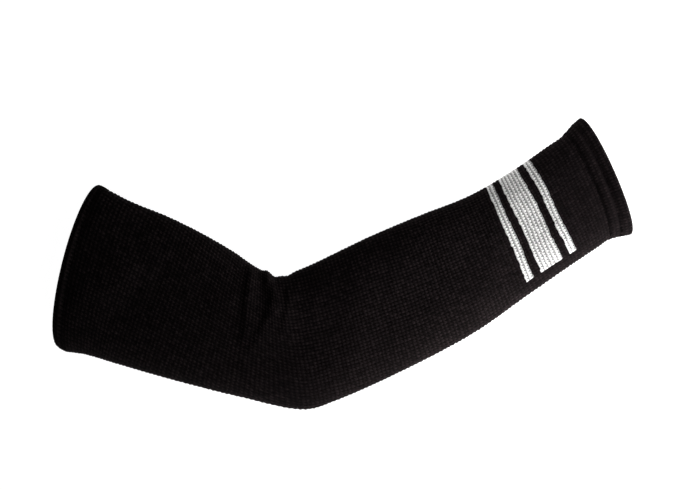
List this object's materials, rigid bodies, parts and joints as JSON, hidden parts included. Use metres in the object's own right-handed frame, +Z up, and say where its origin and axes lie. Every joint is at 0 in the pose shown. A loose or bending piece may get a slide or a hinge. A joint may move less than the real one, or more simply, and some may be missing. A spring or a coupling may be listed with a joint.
{
  "type": "cricket fielding sleeve",
  "caption": "Bent tube of thick black elastic knit worn over the elbow and forearm, with a turned, sewn hem at each open end and white knitted bars near the wrist, lying flat.",
  "frame": {"origin": "on the surface that the sleeve lies on, at the middle of its footprint", "axes": "+X from the upper-arm opening to the wrist, +Y towards the crook of the elbow, +Z up"},
  "size_m": [0.3996, 0.2, 0.0283],
  "materials": {
    "black_knit": "coarse ribbed elastic knit, near black, with white bars knitted in near the wrist",
    "black_hem": "the same knit turned in and overlocked"
  },
  "bodies": {
    "root": {"knit_tube": "black_knit", "upper_arm_hem": "black_hem", "wrist_hem": "black_hem"}
  },
  "joints": []
}
